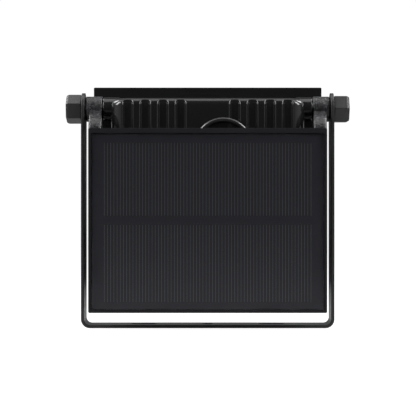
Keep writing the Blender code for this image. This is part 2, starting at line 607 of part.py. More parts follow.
def smooth_route(points, steps):
    """Points read from a Catmull-Rom curve through the route's own points."""
    ends = [points[0]] + points + [points[-1]]
    route = []
    for i in range(len(points) - 1):
        p0, p1, p2, p3 = (Vector(p) for p in ends[i:i + 4])
        for k in range(steps):
            t = k / steps
            route.append(0.5 * (2 * p1 + (p2 - p0) * t + (2 * p0 - 5 * p1 + 4 * p2 - p3) * t ** 2
                                + (3 * p1 - p0 - 3 * p2 + p3) * t ** 3))
    return route + [Vector(points[-1])]


def make_cable(lamp):
    route = smooth_route([(x, CABLE_Y, AXIS_Z + z) for x, z in CABLE_ROUTE], 2)
    curve = bpy.data.curves.new("link_cable", "CURVE")
    curve.dimensions = "3D"
    curve.bevel_depth = CABLE_R * MM
    curve.bevel_resolution = 2
    curve.use_fill_caps = True
    spline = curve.splines.new("POLY")
    spline.points.add(len(route) - 1)
    origin = Vector(lamp["place"])
    for point, place in zip(spline.points, route):
        point.co = (*(place * MM - origin), 1.0)
    cable = bpy.data.objects.new("link_cable", curve)
    bpy.context.collection.objects.link(cable)
    cable.parent = lamp
    paint(cable, "rubber")


# ---------------------------------------------------------------- the whole light


def main():
    clear_scene()
    make_bracket()
    lamp = make_axis("lamp_axis", 0, 0, AXIS_Z)
    panel = make_axis("panel_axis", 0, 0, AXIS_Z, lamp)
    make_casing(lamp)
    make_bezel(lamp)
    make_optics(lamp)
    make_power(lamp)
    make_lamp_trim(lamp)
    make_button(make_axis("power_button_axis", BUTTON_X, BOTTOM_Y, CASING_BOTTOM, lamp))
    make_port_cover(make_axis("port_cover_axis", FLAP_HINGE_X, BOTTOM_Y, sum(FLAP) / 2, lamp))
    make_panel_frame(panel)
    make_back_cover(panel)
    make_laminate(panel)
    for side, sign in both_sides():
        clamp_axis = make_axis(f"{side}_clamp_axis", sign * KNOB_INNER_X, 0, AXIS_Z, lamp)
        knob_axis = make_axis(f"{side}_knob_axis", sign * KNOB_INNER_X, 0, AXIS_Z, clamp_axis)
        make_clamp(side, sign, clamp_axis, knob_axis)
    make_cable(lamp)


main()
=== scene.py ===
"""The looks of the solar charged flood light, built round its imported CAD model.

Shapes are worked out in millimetres in the frame's own axes: X along the clamping axis, the solar
panel on the -Y side and Z up. make_piece() turns them into metres. Places and sizes come from the CAD
nodes' boxes. The camera stands level in front of the solar panel.
"""

import math

import bmesh
import bpy
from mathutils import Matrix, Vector


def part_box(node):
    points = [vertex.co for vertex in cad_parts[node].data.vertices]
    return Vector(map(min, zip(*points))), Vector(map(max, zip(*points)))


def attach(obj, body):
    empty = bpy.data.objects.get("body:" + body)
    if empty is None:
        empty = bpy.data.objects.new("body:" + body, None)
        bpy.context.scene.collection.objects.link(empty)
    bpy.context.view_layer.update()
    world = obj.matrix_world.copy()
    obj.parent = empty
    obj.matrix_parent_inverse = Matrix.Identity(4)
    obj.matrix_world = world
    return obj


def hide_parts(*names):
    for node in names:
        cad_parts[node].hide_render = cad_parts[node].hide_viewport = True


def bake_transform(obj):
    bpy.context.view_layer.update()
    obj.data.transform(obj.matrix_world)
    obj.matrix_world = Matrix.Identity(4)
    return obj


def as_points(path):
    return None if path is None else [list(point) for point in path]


MM = 0.001
SIDES = (("left", -1), ("right", 1))
SCREW_NUMBERS = (1, 2, 3, 4)
SMOOTH_ANGLE = math.radians(32)  # faces that meet at less than this are shaded as one


def box_mm(node):
    low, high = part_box(node)
    return low / MM, high / MM


def centre_of(node):
    low, high = box_mm(node)
    return (low + high) / 2


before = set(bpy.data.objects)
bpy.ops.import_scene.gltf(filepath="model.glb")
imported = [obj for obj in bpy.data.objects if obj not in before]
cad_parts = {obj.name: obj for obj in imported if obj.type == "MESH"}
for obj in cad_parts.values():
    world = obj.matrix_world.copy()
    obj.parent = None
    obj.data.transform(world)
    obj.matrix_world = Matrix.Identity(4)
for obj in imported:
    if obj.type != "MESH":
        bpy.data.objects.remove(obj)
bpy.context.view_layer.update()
insert_low, insert_high = box_mm("left_insert")
AXIS_Z = (insert_low.z + insert_high.z) / 2  # height of the clamping axis

# -------- outlines and solids


def arc(centre, radius, start, end, steps):
    """Points on an arc, with its angles in degrees."""
    angles = [math.radians(start + (end - start) * i / steps) for i in range(steps + 1)]
    return [(centre[0] + radius * math.cos(a), centre[1] + radius * math.sin(a)) for a in angles]


def circle(centre, radius, sides):
    return arc(centre, radius, 0, 360, sides)[:-1]


def quarter(radius, steps):
    """A quarter round as pairs of offsets: the first falls from radius to 0, the second grows to it."""
    turns = [math.radians(90 * i / steps) for i in range(steps + 1)]
    return [(radius * (1 - math.sin(t)), radius * (1 - math.cos(t))) for t in turns]


def rectangle(a0, a1, b0, b1, radius, steps=6):
    """A rectangle with rounded corners."""
    corners = [(a0 + radius, b0 + radius, 180), (a1 - radius, b0 + radius, 270),
               (a1 - radius, b1 - radius, 0), (a0 + radius, b1 - radius, 90)]
    return [p for a, b, turn in corners for p in arc((a, b), radius, turn, turn + 90, steps)]


def smoothstep(low, high, value):
    """0 up to low, 1 from high, and an S-curve between."""
    t = min(1.0, max(0.0, (value - low) / (high - low)))
    return t * t * (3 - 2 * t)


def bezier(p0, p1, p2, p3, steps):
    points = []
    for i in range(steps + 1):
        t = i / steps
        weights = ((1 - t) ** 3, 3 * t * (1 - t) ** 2, 3 * t * t * (1 - t), t ** 3)
        points.append(tuple(sum(w * p[k] for w, p in zip(weights, (p0, p1, p2, p3))) for k in (0, 1)))
    return points


def skin(bm, rings, closed=False):
    """Joins rings of points into one skin. Unless it is closed, its two end rings get a face each."""
    rows = [[bm.verts.new(p) for p in ring] for ring in rings]
    following = rows[1:] + rows[:1] if closed else rows[1:]
    for here, there in zip(rows, following):
        for i in range(len(here)):
            j = (i + 1) % len(here)
            bm.faces.new((here[i], here[j], there[j], there[i]))
    if not closed:
        bm.faces.new(rows[0])
        bm.faces.new(rows[-1])
    return bm


def place(along, a, b, at):
    """A corner of an outline that stands square to an axis."""
    return {"x": (at, a, b), "y": (a, at, b), "z": (a, b, at)}[along]


def lofted(stations, along, closed=False, bm=None):
    """A solid through outlines that stand at places along an axis."""
    rings = [[place(along, a, b, at) for a, b in outline] for at, outline in stations]
    return skin(bm or bmesh.new(), rings, closed)


def rounded_prism(outline_at, along, start, end, radius, bm=None):
    """A prism with rounded end edges. outline_at gives the outline drawn in by a distance."""
    edge = quarter(radius, 4)
    sign = 1 if end > start else -1
    rows = [(start + sign * rise, outline_at(inset)) for inset, rise in edge]
    rows += [(end - sign * rise, outline_at(inset)) for inset, rise in reversed(edge)]
    return lofted(rows, along, bm=bm)


def turned(profile, along, centre, sides=48, closed=False, bm=None):
    """A round solid about an axis, from (place along it, radius) points."""
    stations = [(at, circle(centre, radius, sides)) for at, radius in profile]
    return lofted(stations, along, closed, bm)


def box_bm(x0, x1, y0, y1, z0, z1, radius=0.0, bm=None):
    """A box with its edges along Y rounded, and its end edges a little less, when a radius is given."""
    if not radius:
        outline = [(x0, z0), (x1, z0), (x1, z1), (x0, z1)]
        return lofted([(y0, outline), (y1, outline)], "y", bm=bm)

    def outline_at(d):
        return rectangle(x0 + d, x1 - d, z0 + d, z1 - d, max(radius - d, 0.05))

    return rounded_prism(outline_at, "y", y0, y1, radius * 0.6, bm)


def drawn_in(outline, inset):
    """A (half width, bottom, top) outline made smaller all round."""
    x, z0, z1 = outline
    return x - inset, z0 + inset, z1 - inset


def ring_section(points, corner):
    """A rectangular ring about Y, from a closed section of (y, half width, bottom, top) points."""
    rings = []
    for y, x, z0, z1 in points:
        rings.append([(a, y, b) for a, b in rectangle(-x, x, z0, z1, corner)])
    return skin(bmesh.new(), rings, closed=True)


# -------- pieces


def put(name, data):
    """Adds an object to the scene."""
    thing = bpy.data.objects.new(name, data)
    bpy.context.scene.collection.objects.link(thing)
    return thing


def make_piece(name, bm, look=None, body=None):
    """Turns a bmesh in millimetres into a piece in metres. Without a look it is a hidden cutter."""
    bmesh.ops.recalc_face_normals(bm, faces=bm.faces)
    bmesh.ops.scale(bm, vec=(MM, MM, MM), verts=bm.verts)
    mesh = bpy.data.meshes.new(name)
    bm.to_mesh(mesh)
    bm.free()
    mesh.shade_smooth()
    mesh.set_sharp_from_angle(angle=SMOOTH_ANGLE)
    piece = put(name, mesh)
    if look:
        mesh.materials.append(LOOKS[look])
    else:
        piece.hide_render = True
        piece.display_type = "WIRE"
    if body:
        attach(piece, body)
    return piece


def reshape(piece, operation, bm, own=False):
    """Adds or takes away another shape, and applies that at once. own is for one that crosses itself."""
    tool = make_piece(piece.name + "_tool", bm)
    step = piece.modifiers.new("shape", "BOOLEAN")
    step.operation = operation
    step.solver = "EXACT"
    step.use_self = own
    step.object = tool
    graph = bpy.context.evaluated_depsgraph_get()
    done = bpy.data.meshes.new_from_object(piece.evaluated_get(graph), depsgraph=graph)
    done.shade_smooth()
    done.set_sharp_from_angle(angle=SMOOTH_ANGLE)
    piece.modifiers.clear()
    piece.data = done
    bpy.data.objects.remove(tool)


def flatten_normals(pieces):
    """Lets the large faces set the normals along their rounded edges, so that flat faces look flat."""
    for piece in pieces:
        step = piece.modifiers.new("face weighted normals", "WEIGHTED_NORMAL")
        step.keep_sharp = True
        step.weight = 80


# -------- shader nodes


class Nodes:
    """A tree of shader nodes under construction."""

    def __init__(self, tree):
        self.tree = tree

    def add(self, kind, inputs=None, **settings):
        """Adds a node. Each input is a plain value, or another node's output to link to."""
        node = self.tree.nodes.new("ShaderNode" + kind)
        for key, value in settings.items():
            setattr(node, key, value)
        for key, value in (inputs or {}).items():
            if isinstance(value, bpy.types.NodeSocket):
                self.tree.links.new(value, node.inputs[key])
            else:
                node.inputs[key].default_value = value
        return node

    def math(self, operation, a, b=0.0):
        return self.add("Math", {0: a, 1: b}, operation=operation).outputs[0]

    def spread(self, value, low, high, start=0.3, end=0.7, kind="LINEAR"):
        """Maps start to end, which by default is a pattern's middle range, onto low to high."""
        limits = {"Value": value, "From Min": start, "From Max": end, "To Min": low, "To Max": high}
        return self.add("MapRange", limits, interpolation_type=kind).outputs["Result"]

    def by_ray(self, lit, seen):
        """One shader for the light that it gives, and another for the camera."""
        camera_ray = self.add("LightPath").outputs["Is Camera Ray"]
        return self.add("MixShader", {0: camera_ray, 1: lit.outputs[0], 2: seen.outputs[0]}).outputs[0]


class Material(Nodes):
    """A Principled material under construction, with its patterns read from the piece's own place."""

    def __init__(self, name):
        self.material = bpy.data.materials.new(name)
        self.material.use_nodes = True
        super().__init__(self.material.node_tree)
        self.shader = self.tree.nodes["Principled BSDF"]
        self.place = self.add("TexCoord").outputs["Object"]

    def noise(self, scale_mm, detail, roughness=0.55, stretch=(1, 1, 1)):
        """Noise with features about scale_mm across, drawn out along an axis by stretch."""
        at = self.place
        if stretch != (1, 1, 1):
            factors = tuple(1 / s for s in stretch)
            at = self.add("Mapping", {"Vector": at, "Scale": factors}).outputs[0]
        return self.add("TexNoise", {"Vector": at, "Scale": 1 / (scale_mm * MM), "Detail": detail,
                                     "Roughness": roughness}).outputs["Fac"]

    def colours(self, fac, *pair):
        """Mixes two colours, each of them plain or another node's output."""
        first, second = [c if isinstance(c, bpy.types.NodeSocket) else (*c, 1) for c in pair]
        return self.add("Mix", {"Factor": fac, "A": first, "B": second}, data_type="RGBA").outputs["Result"]

    def mottle(self, pattern, dark, light):
        """Drifts from dark to light along with a pattern."""
        return self.colours(self.spread(pattern, 0, 1), dark, light)

    def bump(self, height, depth_mm, below=None):
        inputs = {"Height": height, "Strength": 1.0, "Distance": depth_mm * MM}
        if below:
            inputs["Normal"] = below
        return self.add("Bump", inputs).outputs["Normal"]

    def finish(self, colour, rough, normal, **plain):
        for key, value in (("Base Color", colour), ("Roughness", rough), ("Normal", normal)):
            self.tree.links.new(value, self.shader.inputs[key])
        for key, value in plain.items():
            self.shader.inputs[key.replace("_", " ")].default_value = value
        return self.material

    def two_tone(self, patches, dark, light, grain, rough, depth_mm, **plain):
        """One pattern drifts the colour from dark to light, and one sets the roughness and the relief."""
        colour, normal = self.mottle(patches, dark, light), self.bump(grain, depth_mm)
        return self.finish(colour, self.spread(grain, *rough), normal, **plain)


# -------- camera, light and floor


CAMERA_AT = (0.0002, -0.9, 0.0743)  # metres, as are the lamps' places and sizes
CAMERA_LENS, CAMERA_SENSOR = 124.6, 36.0
LIGHT_MIDDLE = Vector((0, 0, 0.1))  # where the lamps point
FLOOR_SIZE = 3000  # millimetres
FLOOR_Z = -0.0003  # metres


def add_camera():
    data = bpy.data.cameras.new("camera")
    data.sensor_width = CAMERA_SENSOR
    data.lens = CAMERA_LENS
    camera = put("camera", data)
    camera.location = CAMERA_AT
    camera.rotation_euler = (math.radians(90), 0, 0)
    bpy.context.scene.camera = camera


def add_area(name, at, size, power):
    data = bpy.data.lights.new(name, "AREA")
    data.shape = "RECTANGLE"
    data.size, data.size_y = size
    data.energy = power
    lamp = put(name, data)
    lamp.location = at
    lamp.rotation_euler = (LIGHT_MIDDLE - Vector(at)).to_track_quat("-Z", "Y").to_euler()
    lamp.visible_camera = False


def add_lights():
    add_area("overhead", (0, 0.05, 0.8), (0.8, 0.5), 2.2)
    for side, sign in SIDES:
        add_area("strip_" + side, (sign * 0.62, -0.25, 0.58), (0.24, 0.6), 6.5)
        add_area("behind_" + side, (sign * 0.58, 0.45, 0.78), (0.34, 0.34), 3.2)


def add_world():
    """White where the camera looks past the light; as a source, dim in front and lighter at the sides."""
    world = bpy.data.worlds.new("studio")
    bpy.context.scene.world = world
    world.use_nodes = True
    world.node_tree.nodes.clear()
    n = Nodes(world.node_tree)
    toward = n.add("SeparateXYZ", {0: n.add("TexCoord").outputs["Generated"]}).outputs
    aside = n.spread(n.math("ABSOLUTE", toward["X"]), 0.07, 0.6, 0.1, 0.8, "SMOOTHSTEP")
    behind = n.spread(toward["Y"], 0.0, 0.27, 0.6, 1.0, "SMOOTHSTEP")
    room = n.add("Background", {"Color": (1.0, 1.0, 1.03, 1), "Strength": n.math("ADD", aside, behind)})
    seen = n.add("Background", {"Color": (1, 1, 1, 1), "Strength": 1.02})
    n.add("OutputWorld", {"Surface": n.by_ray(room, seen)})


def add_floor():
    bm = bmesh.new()
    bmesh.ops.create_grid(bm, x_segments=4, y_segments=4, size=FLOOR_SIZE)
    floor = make_piece("floor", bm, "pale_floor")
    floor.location.z = FLOOR_Z


# -------- materials


def pale_floor():
    """A floor that looks nearly white, and throws light back up only close to the object."""
    material = bpy.data.materials.new("pale floor")
    material.use_nodes = True
    material.node_tree.nodes.clear()
    n = Nodes(material.node_tree)
    at = n.add("TexCoord").outputs["Object"]
    away = n.add("VectorMath", {0: at}, operation="LENGTH").outputs["Value"]
    table = n.add("BsdfDiffuse", {"Color": n.spread(away, 0.55, 0.1, 0.08, 0.42, "SMOOTHSTEP")})
    glow = n.add("Emission", {"Strength": 0.94})
    faint = n.add("BsdfDiffuse", {"Color": (0.2, 0.2, 0.2, 1)})
    seen = n.add("AddShader", {0: glow.outputs[0], 1: faint.outputs[0]})
    n.add("OutputMaterial", {"Surface": n.by_ray(table, seen)})
    return material


def gloss_black():
    """Injection moulded casing: glossy, with a faint ripple and hair scratches."""
    n = Material("gloss black")
    ripple, dust, hair = n.noise(9.0, 2), n.noise(0.5, 4), n.noise(0.8, 3, stretch=(1, 1, 14))
    colour = n.mottle(dust, (0.0048, 0.0048, 0.0051), (0.0082, 0.0082, 0.0087))
    rough = n.spread(n.math("MAXIMUM", dust, hair), 0.13, 0.24, 0.4, 0.75)
    normal = n.bump(hair, 0.0025, n.bump(ripple, 0.02))
    return n.finish(colour, rough, normal)


def matt_black():
    """Bezel: black with a fine moulded grain."""
    n = Material("matt black")
    return n.two_tone(n.noise(14, 3), (0.0026, 0.0026, 0.0028), (0.0042, 0.0042, 0.0045),
                      n.noise(0.35, 4, 0.6), (0.5, 0.66), 0.03, Specular_IOR_Level=0.12)


def black_paint():
    """Powder coat on steel strip, with orange peel and a few pale dust specks."""
    n = Material("black powder coat")
    peel, speck, dust = n.noise(1.1, 3), n.noise(0.28, 4, 0.65), n.noise(0.9, 4, 0.7)
    coat = n.mottle(speck, (0.0085, 0.0085, 0.009), (0.017, 0.017, 0.018))
    colour = n.colours(n.spread(dust, 0.0, 0.3, 0.66, 0.74), coat, (0.09, 0.09, 0.09))
    rough = n.spread(peel, 0.34, 0.5)
    return n.finish(colour, rough, n.bump(speck, 0.012, n.bump(peel, 0.035)))


def textured_black():
    """Mottled charcoal moulding of the panel's ears, with pale flecks over the pits that paint the glints
    the pits catch.
    """
    n = Material("mottled charcoal")
    blotch, pit, grain = n.noise(3.2, 4, 0.65), n.noise(1.3, 3, 0.6), n.noise(0.3, 4, 0.6)
    # painted glints: pale grey colour where the pits stand highest, in place of the highlights that they
    # catch
    painted_glint = n.spread(n.math("MULTIPLY", pit, blotch), 0.0, 1.0, 0.29, 0.36)
    base = n.colours(n.spread(blotch, 0, 1, 0.4, 0.6), (0.0035, 0.0035, 0.004), (0.0165, 0.0165, 0.0187))
    colour = n.colours(n.math("MULTIPLY", painted_glint, 0.5), base, (0.1, 0.1, 0.106))
    rough = n.spread(pit, 0.26, 0.5, 0.4, 0.6)
    return n.finish(colour, rough, n.bump(grain, 0.02, n.bump(pit, 0.3)), IOR=1.52)


def satin(name, dark, light, specular):
    """Satin charcoal moulding with a fine grain."""
    n = Material(name)
    return n.two_tone(n.noise(18, 3), dark, light,
                      n.noise(0.4, 4, 0.6), (0.38, 0.52), 0.02, Specular_IOR_Level=specular)


def rubber():
    n = Material("rubber")
    return n.two_tone(n.noise(5, 4), (0.008, 0.008, 0.008), (0.019, 0.019, 0.019),
                      n.noise(0.25, 4, 0.65), (0.62, 0.82), 0.025)


def cable_jacket():
    n = Material("cable jacket")
    return n.two_tone(n.noise(1.2, 3, stretch=(3, 1, 3)), (0.006, 0.006, 0.006), (0.012, 0.012, 0.012),
                      n.noise(0.2, 3), (0.18, 0.28), 0.006, Specular_IOR_Level=0.9)


def metal(name, dark, light, rough, stretch):
    """Machined or drawn metal, with its tool marks drawn out along one axis."""
    n = Material(name)
    return n.two_tone(n.noise(4, 4), dark, light,
                      n.noise(0.4, 4, 0.6, stretch), rough, 0.008, Metallic=1.0)


def white_plastic():
    n = Material("white plastic")
    return n.two_tone(n.noise(12, 3), (0.74, 0.74, 0.72), (0.84, 0.84, 0.83),
                      n.noise(0.9, 3), (0.28, 0.42), 0.02)


def clear_sheet(name, tint, rough_low, rough_high, straight, grazing):
    """A thin clear sheet: seen through, with a reflection that grows toward grazing angles."""
    n = Material(name)
    dust, wave = n.noise(0.7, 5, 0.65), n.noise(26, 2)
    rough = n.spread(dust, rough_low, rough_high, 0.35, 0.7)
    normal = n.bump(wave, 0.02)
    gloss = n.add("BsdfGlossy", {"Color": (1, 1, 1, 1), "Roughness": rough, "Normal": normal})
    clear = n.add("BsdfTransparent", {"Color": (*tint, 1)})
    facing = n.add("LayerWeight", {"Blend": 0.5, "Normal": normal}).outputs["Facing"]
    share = n.math("ADD", n.math("MULTIPLY", n.math("POWER", facing, 5.0), grazing), straight)
    mix = n.add("MixShader", {0: share, 1: clear.outputs[0], 2: gloss.outputs[0]})
    n.tree.links.new(mix.outputs[0], n.tree.nodes["Material Output"].inputs["Surface"])
    return n.material


def phosphor():
    n = Material("phosphor")
    return n.two_tone(n.noise(3, 3), (0.82, 0.62, 0.10), (0.9, 0.74, 0.2),
                      n.noise(0.3, 4), (0.35, 0.5), 0.015)


def circuit_board():
    n = Material("circuit board")
    weave = n.add("TexWave", {"Vector": n.place, "Scale": 260.0, "Distortion": 2.0}).outputs["Fac"]
    patches = n.noise(6, 4)
    colour = n.mottle(patches, (0.010, 0.085, 0.030), (0.02, 0.14, 0.055))
    return n.finish(colour, n.spread(patches, 0.32, 0.45), n.bump(weave, 0.01))


def cell_wrap():
    n = Material("cell wrap")
    return n.two_tone(n.noise(10, 3), (0.03, 0.13, 0.40), (0.05, 0.18, 0.52),
                      n.noise(1.5, 3, stretch=(8, 1, 1)), (0.25, 0.4), 0.02)


def solar_cell():
    """Thin-film cells: near black with slight drifts of blue from strip to strip."""
    n = Material("solar cell")
    drift = n.noise(16, 3, stretch=(0.12, 1, 3))
    return n.two_tone(drift, (0.0102, 0.0102, 0.0124), (0.0119, 0.0119, 0.0144),
                      n.noise(0.5, 4), (0.28, 0.36), 0.004)


def backboard():
    n = Material("black backboard")
    return n.two_tone(n.noise(8, 3), (0.0138, 0.0138, 0.0168), (0.0156, 0.0156, 0.0190),
                      n.noise(0.6, 3, stretch=(1, 1, 6)), (0.28, 0.36), 0.006)


def finger_silver():
    """Printed silver, dulled by the film over it."""
    n = Material("printed silver")
    grain = n.noise(0.4, 4, 0.6, (1, 1, 5))
    return n.two_tone(grain, (0.068, 0.068, 0.073), (0.078, 0.078, 0.084),
                      grain, (0.4, 0.55), 0.006)


LOOKS = {
    "pale_floor": pale_floor(),
    "gloss_black": gloss_black(),
    "matt_black": matt_black(),
    "black_paint": black_paint(),
    "textured_black": textured_black(),
    "panel_plastic": satin("panel charcoal", (0.0095, 0.0095, 0.0110), (0.0125, 0.0125, 0.0142), 0.12),
    "knob_plastic": satin("knob charcoal", (0.0105, 0.0105, 0.0115), (0.0145, 0.0145, 0.016), 0.5),
    "rubber": rubber(),
    "cable_jacket": cable_jacket(),
    "steel": metal("zinc steel", (0.42, 0.42, 0.44), (0.6, 0.6, 0.61), (0.24, 0.42), (1, 1, 1)),
    "brass": metal("turned brass", (0.62, 0.42, 0.16), (0.78, 0.58, 0.26), (0.22, 0.38), (6, 1, 1)),
    "copper": metal("copper ribbon", (0.62, 0.28, 0.14), (0.8, 0.42, 0.24), (0.25, 0.45), (1, 1, 6)),
    "aluminium": metal("rolled aluminium", (0.66, 0.67, 0.69), (0.8, 0.8, 0.82), (0.3, 0.48), (10, 1, 1)),
    "white_plastic": white_plastic(),
    "glass": clear_sheet("lens glass", (0.93, 0.97, 0.96), 0.02, 0.08, 0.04, 0.6),
    "phosphor": phosphor(),
    "board_green": circuit_board(),
    "cell_wrap": cell_wrap(),
    "solar_cell": solar_cell(),
    "panel_film": clear_sheet("panel film", (0.96, 0.96, 0.97), 0.27, 0.31, 0.0, 0.35),
    "backboard": backboard(),
    "finger_silver": finger_silver(),
}


def dress(node, look):
    """Gives a CAD node that stays in view its finish."""
    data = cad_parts[node].data
    data.materials.clear()
    data.materials.append(LOOKS[look])


# -------- link cable


def link_route():
    """The cable's centreline, in millimetres: the route's own points and three between each pair."""
    own_points = [(-5.0, -37.0), (-5.7, -33.5), (-7.2, -29.3), (-7.65, -24.8), (-5.33, -16.15),
                  (1.0, -9.82), (9.65, -7.5), (18.3, -9.82), (24.63, -16.15), (26.95, -24.8),
                  (26.5, -29.3), (25.0, -33.5), (24.3, -37.0)]  # across, and up from the clamping axis
    low, high = box_mm("link_cable")
    y = (low.y + high.y) / 2
    points = [Vector((x, y, AXIS_Z + up)) for x, up in own_points]
    ends = [points[0]] + points + [points[-1]]
    route = []
    for i in range(len(points) - 1):
        p0, p1, p2, p3 = ends[i:i + 4]
        for k in range(4):
            t = k / 4
            route.append(0.5 * (2 * p1 + (p2 - p0) * t + (2 * p0 - 5 * p1 + 4 * p2 - p3) * t ** 2
                                + (3 * p1 - p0 - 3 * p2 + p3) * t ** 3))
    return route + [points[-1]]


def tube_bm(route, radius):
    """A tube along a route in an XZ plane."""
    out = Vector((0, 1, 0))
    rings = []
    for i, p in enumerate(route):
        ahead, behind = route[min(i + 1, len(route) - 1)], route[max(i - 1, 0)]
        across = (ahead - behind).normalized().cross(out).normalized()
        rings.append([p + a * across + b * out for a, b in circle((0, 0), radius, 20)])
    return skin(bmesh.new(), rings)


BOOT_PROFILE = ((-0.2, 0.1), (-0.2, 1.35), (0.8, 1.3), (1.2, 1.0), (2.4, 0.9), (2.8, 0.6),
                (4.0, 0.5), (4.3, 0.25), (4.3, 0.1))  # up the cable from its end, and out from its surface


def make_link_cable():
    """The cable from the lamp to the panel, with a stepped rubber boot on each end."""
    route = link_route()
    low, high = box_mm("link_cable")
    radius = (high.y - low.y) / 2
    cable = make_piece("link_lead", tube_bm(route, radius), "cable_jacket")
    start, end = route[0] * MM, route[-1] * MM
    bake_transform(cable)
    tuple(start)
    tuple(end)
    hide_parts("link_cable")
    path = [p * MM for p in route]
    length = sum((b - a).length for a, b in zip(path, path[1:]))
    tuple(start)
    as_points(path)
    for name, at, body in (("lamp_boot", route[0], "lamp"), ("panel_boot", route[-1], "panel")):
        profile = [(at.z + up, radius + out) for up, out in BOOT_PROFILE]
        boot = make_piece(name, turned(profile, "z", (at.x, at.y), 32, closed=True), "rubber", body)


# -------- bracket


def strip_section(width, thickness, edge):
    """A flat strip with rounded edges: (across the width, out of the face) points."""
    w, t, steps = width / 2, thickness / 2, 3
    r = min(edge, w * 0.98)
    corners = [(w - r, t - edge, 0), (r - w, t - edge, 90), (r - w, edge - t, 180), (w - r, edge - t, 270)]
    points = []
    for a, b, turn in corners:
        for i in range(steps + 1):
            angle = math.radians(turn + 90 * i / steps)
            points.append((a + r * math.cos(angle), b + edge * math.sin(angle)))
    return points


STRIP_THICKNESS = 2.0
STRIP_EDGE_R = 0.35
BEND_OUTER_R = 5.5
BASE_HOLE_R, BASE_HOLE_FLARED_R = 3.2, 3.9
BOLT_HOLE_R = 3.3
SLOT_X, SLOT_LENGTH, SLOT_WIDTH = 39.7, 16.0, 6.0


def bracket_spine(low, high):
    """Half of the strip, from its round top end down to its base: middle, outward normal and width."""
    mid_x, mid_z = high.x - STRIP_THICKNESS / 2, low.z + STRIP_THICKNESS / 2
    bend_r, width = BEND_OUTER_R - STRIP_THICKNESS / 2, high.y - low.y
    end_r, tip_half, steps = width / 2, 0.75, 12
    spine = []
    for i in range(steps + 1):
        turn = math.radians(90 - 90 * i / steps)
        half = max(end_r * math.cos(turn), tip_half)
        spine.append(((-mid_x, AXIS_Z + end_r * math.sin(turn)), (-1, 0), 2 * half))
    for drop in (30, 75):
        spine.append(((-mid_x, AXIS_Z - drop), (-1, 0), width))
    for x, z in arc((bend_r - mid_x, mid_z + bend_r), bend_r, 180, 270, 10):
        normal = Vector((x + mid_x - bend_r, z - mid_z - bend_r)).normalized()
        spine.append(((x, z), tuple(normal), width))
    return spine + [((-25, mid_z), (0, -1), width)]


def bracket_cutters(high):
    """The base's centre hole and slots, flared a little at both faces, and the two bolt holes."""
    over, flared = 0.2, 0.35
    heights = (-over, flared, STRIP_THICKNESS - flared, STRIP_THICKNESS + over)
    cutters = bmesh.new()
    radii = (BASE_HOLE_FLARED_R, BASE_HOLE_R, BASE_HOLE_R, BASE_HOLE_FLARED_R)
    turned(zip(heights, radii), "z", (0, 0), 40, bm=cutters)
    turned([(-high.x - 1, BOLT_HOLE_R), (high.x + 1, BOLT_HOLE_R)], "x", (0, AXIS_Z), 32, bm=cutters)
    for _, sign in SIDES:
        stations = []
        for z, grow in zip(heights, (0.55, 0.0, 0.0, 0.55)):
            x0, x1 = sign * SLOT_X - SLOT_LENGTH / 2 - grow, sign * SLOT_X + SLOT_LENGTH / 2 + grow
            half = SLOT_WIDTH / 2 + grow
            stations.append((z, rectangle(x0, x1, -half, half, half - 0.01, 10)))
        lofted(stations, "z", bm=cutters)
    return cutters


def make_bracket():
    """The bent strip of steel that holds the lamp between its two legs."""
    low, high = box_mm("bracket")
    spine = bracket_spine(low, high)
    spine += [((-x, z), (-nx, nz), w) for (x, z), (nx, nz), w in reversed(spine)]
    rings = []
    for (x, z), (nx, nz), width in spine:
        section = strip_section(width, STRIP_THICKNESS, STRIP_EDGE_R)
        rings.append([(x + nx * out, across, z + nz * out) for across, out in section])
    strip = make_piece("bracket_strip", skin(bmesh.new(), rings), "black_paint")
    reshape(strip, "DIFFERENCE", bracket_cutters(high))
    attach(strip, "bracket")
    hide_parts("bracket")


# -------- lamp


CASING_HALF_WIDTH = 60.0
CASING_TOP = AXIS_Z + 6.3
CASING_BOTTOM = AXIS_Z - 104.0
CASING_WALL, CASING_BACK_WALL = 2.5, 4.2
CORNER_R = 8.0  # the casing's corners, seen from above
EDGE_R = 4.5  # the casing's top and bottom edges
SIDE_EDGE_R = 5.0  # the ends of its sides
LUG_TIP, LUG_R, LUG_EDGE_R = 65.3, 7.3, 0.9
LUG_BORE_R, LUG_BORE_IN, LUG_BORE_OUT = 4.3, 52, 67
SIDE_Y = 2.0  # a row of points part of the way along the flat sides
BUTTON_HOLE_R = 5.2
SOCKET_HOLE_X, SOCKET_HOLE_Y = 5.3, 2.6  # half sizes
GLAND_HOLE_R, GLAND_DROP = 2.7, 43.0
FLUTE_CENTRES = [16.7 + 10.9 * k for k in range(4)]  # to each side of the middle
FLUTE_WIDTH = 5.9
FLUTE_DEPTH = 1.85
FLUTE_CORNER_R = 2.2
FLUTE_REACH = (CASING_TOP - CASING_BOTTOM) / 2 - 0.45
WALL_INSIDE, WALL_OUTSIDE = 0.9, 0.8  # how far a flute's sloping wall runs to each side of its outline
LIP_BLEND = 0.9  # how softly a flute runs out over the casing's rounded edge
FLANGE_INSET = 2.72
FRAME_CORNER_R = 0.7  # corners of the flange and the bezel
SCREW_HOLE_R = 1.8


def flute_depth(x, z):
    """How far the casing's back is sunk at a place, 0 outside the flutes."""
    away = min(abs(abs(x) - centre) for centre in FLUTE_CENTRES)
    dx, dz = away - FLUTE_WIDTH / 2 + FLUTE_CORNER_R, abs(z) - FLUTE_REACH + FLUTE_CORNER_R
    outside = math.hypot(max(dx, 0), max(dz, 0)) + min(max(dx, dz), 0) - FLUTE_CORNER_R
    return FLUTE_DEPTH * (1 - smoothstep(-WALL_INSIDE, WALL_OUTSIDE, outside))


def soft_max(a, b):
    """The larger of two depths, with the edge where they cross rounded off."""
    near = max(0.0, 1.0 - abs(a - b) / LIP_BLEND)
    return max(a, b) + near * near * LIP_BLEND / 4


